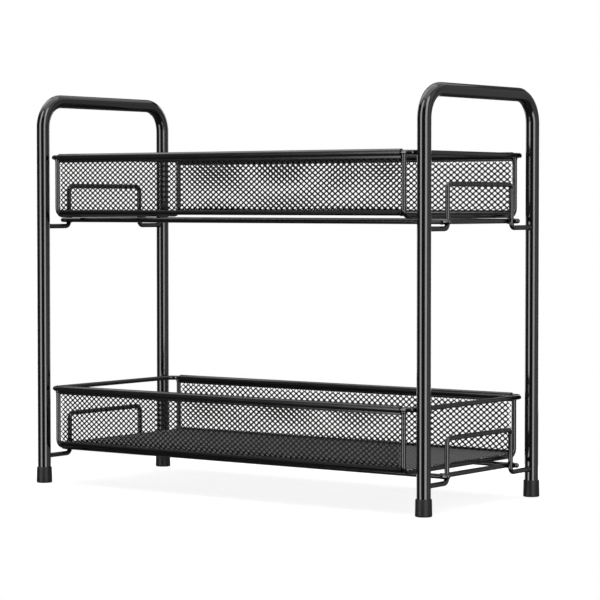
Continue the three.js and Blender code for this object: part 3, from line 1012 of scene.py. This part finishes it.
class RACK_OT_stage(bpy.types.Operator):
    """Make the camera, the white table top and the studio light"""

    bl_idname = "rack.stage"
    bl_label = "Stage"

    def execute(self, context):
        """Sets the scene up round the finished rack."""
        stage = context.scene.rack_stage
        context.scene.view_settings.view_transform = "Standard"
        self.camera(context, stage)
        self.table(context, stage)
        self.cloth_ring(context, stage)
        self.world(context, stage)
        for name, strip in STRIPS.items():
            self.strip(context, stage, name, **strip)
        for name, lamp in LAMPS.items():
            self.lamp(context, name, aim_level=LAMP_AIM_LEVEL, **lamp)
        return {"FINISHED"}

    def camera(self, context, stage):
        """A camera that looks slightly down.

        Its lens is the sensor's width times the focal length in pixels over the picture's width.
        """
        data = bpy.data.cameras.new("Camera")
        data.sensor_width = SENSOR_WIDTH
        data.lens = SENSOR_WIDTH * stage.focal_pixels / PICTURE_WIDTH
        camera = bpy.data.objects.new("Camera", data)
        turn = stage.view_turn
        away = Vector((math.sin(turn), -math.cos(turn), 0)) * stage.view_distance
        aside = Vector((math.cos(turn), math.sin(turn), 0)) * stage.view_aside
        camera.location = away + aside + Vector((0, 0, stage.view_height))
        camera.rotation_euler = (math.pi / 2 - stage.view_tilt, 0, turn)
        context.scene.collection.objects.link(camera)
        context.scene.camera = camera

    def table(self, context, stage):
        """A round white top, hidden from reflections, whose grid is (r cos(a), r sin(a))."""
        radius = np.linspace(1, TABLE_DISC_SHARE, TABLE_RINGS) * stage.table_radius
        level = np.full_like(radius, -stage.table_drop)
        grid = lathe_grid(np.stack([radius, level], axis=1), TABLE_SIDES)
        mesh = grid_mesh("table_top_skin", grid, start_face=False)
        mesh.materials.append(self.table_material(stage))
        top = bpy.data.objects.new("table_top", mesh)
        top.visible_glossy = False
        context.scene.collection.objects.link(top)

    def table_material(self, stage):
        """Glows for the camera, up to plain white at the edge; a diffuse share takes the rack's shadow."""
        material = bpy.data.materials.new("White table")
        material.use_nodes = True
        tree = material.node_tree
        tree.nodes.clear()
        leave = tree.nodes.new("ShaderNodeOutputMaterial")
        path = tree.nodes.new("ShaderNodeLightPath")
        place = tree.nodes.new("ShaderNodeTexCoord")
        span = tree.nodes.new("ShaderNodeVectorMath")
        span.operation = "LENGTH"
        tree.links.new(place.outputs["Object"], span.inputs[0])
        start = stage.fade_start * stage.table_radius
        end = stage.fade_end * stage.table_radius
        fade = smooth_step(tree, span.outputs["Value"], start, end, stage.table_glow, 1.0)
        seen = math_node(tree, "ADD", path.outputs["Is Camera Ray"], path.outputs["Is Transmission Ray"])
        glow = tree.nodes.new("ShaderNodeEmission")
        tree.links.new(math_node(tree, "MULTIPLY", fade, seen), glow.inputs["Strength"])
        matt = tree.nodes.new("ShaderNodeBsdfDiffuse")
        matt.inputs["Color"].default_value = grey(stage.table_grey)
        both = tree.nodes.new("ShaderNodeAddShader")
        tree.links.new(glow.outputs[0], both.inputs[0])
        tree.links.new(matt.outputs[0], both.inputs[1])
        tree.links.new(both.outputs[0], leave.inputs["Surface"])
        return material

    def cloth_ring(self, context, stage):
        """Grey cloth round and below the studio, seen only in reflections, where it glows with painted
        light: a profile turned about Z.
        """
        radius, bottom = stage.cloth_radius, -stage.cloth_depth
        profile = [(radius, stage.cloth_top), (radius, bottom), (stage.cloth_hole, bottom)]
        grid = lathe_grid(profile, CLOTH_SIDES)
        mesh = grid_mesh("cloth_ring_skin", grid, start_face=False, end_face=False)
        mesh.materials.append(self.cloth_material(stage))
        ring = bpy.data.objects.new("cloth_ring", mesh)
        for kind in ("camera", "diffuse", "transmission", "volume_scatter", "shadow"):
            setattr(ring, "visible_" + kind, False)
        context.scene.collection.objects.link(ring)

    def cloth_material(self, stage):
        """Painted light: the cloth glows brightly on one side of the camera and fades to a dim painted glow
        on the others.
        """
        material = bpy.data.materials.new("Grey cloth")
        material.use_nodes = True
        tree = material.node_tree
        shader = tree.nodes["Principled BSDF"]
        shader.inputs["Base Color"].default_value = grey(stage.cloth_grey)
        shader.inputs["Roughness"].default_value = stage.cloth_roughness
        shader.inputs["Emission Color"].default_value = grey(1)
        place = tree.nodes.new("ShaderNodeTexCoord")
        towards = tree.nodes.new("ShaderNodeVectorMath")
        towards.operation = "DOT_PRODUCT"
        turn = stage.view_turn + stage.painted_light_turn
        towards.inputs[1].default_value = (math.sin(turn), -math.cos(turn), 0)
        tree.links.new(place.outputs["Object"], towards.inputs[0])
        # Painted light: the cloth's glow goes from the dim level to the bright one towards the turn
        start = stage.painted_light_faded * stage.cloth_radius
        end = stage.painted_light_full * stage.cloth_radius
        fade = smooth_step(tree, towards.outputs["Value"], start, end, stage.cloth_painted_dim, stage.cloth_painted_light)
        tree.links.new(fade, shader.inputs["Emission Strength"])
        return material

    def world(self, context, stage):
        """White for the camera, reflections and glass, and an even grey light on everything else."""
        world = bpy.data.worlds.new("Studio")
        context.scene.world = world
        world.use_nodes = True
        tree = world.node_tree
        back = tree.nodes["Background"]
        path = tree.nodes.new("ShaderNodeLightPath")
        seen = math_node(tree, "ADD", path.outputs["Is Camera Ray"], path.outputs["Is Glossy Ray"])
        seen = math_node(tree, "ADD", seen, path.outputs["Is Transmission Ray"])
        seen = math_node(tree, "MINIMUM", seen, 1.0)
        strength = math_node(tree, "MULTIPLY_ADD", seen, 1.0 - stage.ambient, stage.ambient)
        back.inputs["Color"].default_value = grey(1)
        tree.links.new(strength, back.inputs["Strength"])

    def lamp(self, context, name, turn, distance, level, width, height, radiance, aim_level):
        """A flat lamp that faces the rack's axis at the aim's level; its power is radiance * pi * area."""
        data = bpy.data.lights.new(name, "AREA")
        data.shape = "RECTANGLE"
        data.size = width
        data.size_y = height
        data.energy = radiance * math.pi * width * height
        lamp = bpy.data.objects.new(name, data)
        bearing = math.radians(turn)
        lamp.location = (math.sin(bearing) * distance, -math.cos(bearing) * distance, level)
        facing = Vector((0, 0, aim_level)) - lamp.location
        lamp.rotation_euler = facing.to_track_quat("-Z", "Y").to_euler()
        context.scene.collection.objects.link(lamp)
        return lamp

    def strip(self, context, stage, name, turn, distance, bottom, width, height, radiance):
        """An upright lamp that shows in reflections and lights nothing else."""
        level = bottom + height / 2
        bearing = math.degrees(stage.view_turn) + turn
        lamp = self.lamp(context, name, bearing, distance, level, width, height, radiance, level)
        lamp.visible_diffuse = False


# Registration

PROPERTY_GROUPS = {"rack_sizes": RackSizes, "rack_finish": RackFinish, "rack_stage": RackStage}
OPERATORS = (
    RACK_OT_side_tubes,
    RACK_OT_feet,
    RACK_OT_brackets,
    RACK_OT_rails,
    RACK_OT_basket_wires,
    RACK_OT_hems,
    RACK_OT_mesh_sheets,
    RACK_OT_stage,
)


class RACK_PT_sidebar(bpy.types.Panel):
    """Lists the rack's operators and properties."""

    bl_idname = "RACK_PT_sidebar"
    bl_label = "Tiered Mesh Rack"
    bl_space_type = "VIEW_3D"
    bl_region_type = "UI"
    bl_category = "Rack"

    def draw(self, context):
        """Draws a button for each operator, then every property."""
        for operator in OPERATORS:
            self.layout.operator(operator.bl_idname)
        for name in PROPERTY_GROUPS:
            box = self.layout.box()
            group = getattr(context.scene, name)
            for prop in group.__annotations__:
                box.prop(group, prop)


def register():
    """Registers the classes and puts the property groups on the scene."""
    for cls in (*PROPERTY_GROUPS.values(), *OPERATORS, RACK_PT_sidebar):
        bpy.utils.register_class(cls)
    for name, cls in PROPERTY_GROUPS.items():
        setattr(bpy.types.Scene, name, bpy.props.PointerProperty(type=cls))


def unregister():
    """Undoes register."""
    for name in PROPERTY_GROUPS:
        delattr(bpy.types.Scene, name)
    for cls in (RACK_PT_sidebar, *OPERATORS, *PROPERTY_GROUPS.values()):
        bpy.utils.unregister_class(cls)


def main():
    """Builds every piece in order."""
    register()
    bpy.ops.rack.side_tubes()
    bpy.ops.rack.feet()
    bpy.ops.rack.brackets()
    bpy.ops.rack.rails()
    bpy.ops.rack.basket_wires()
    bpy.ops.rack.hems()
    bpy.ops.rack.mesh_sheets()
    bpy.ops.rack.stage()


if __name__ == "__main__":
    main()
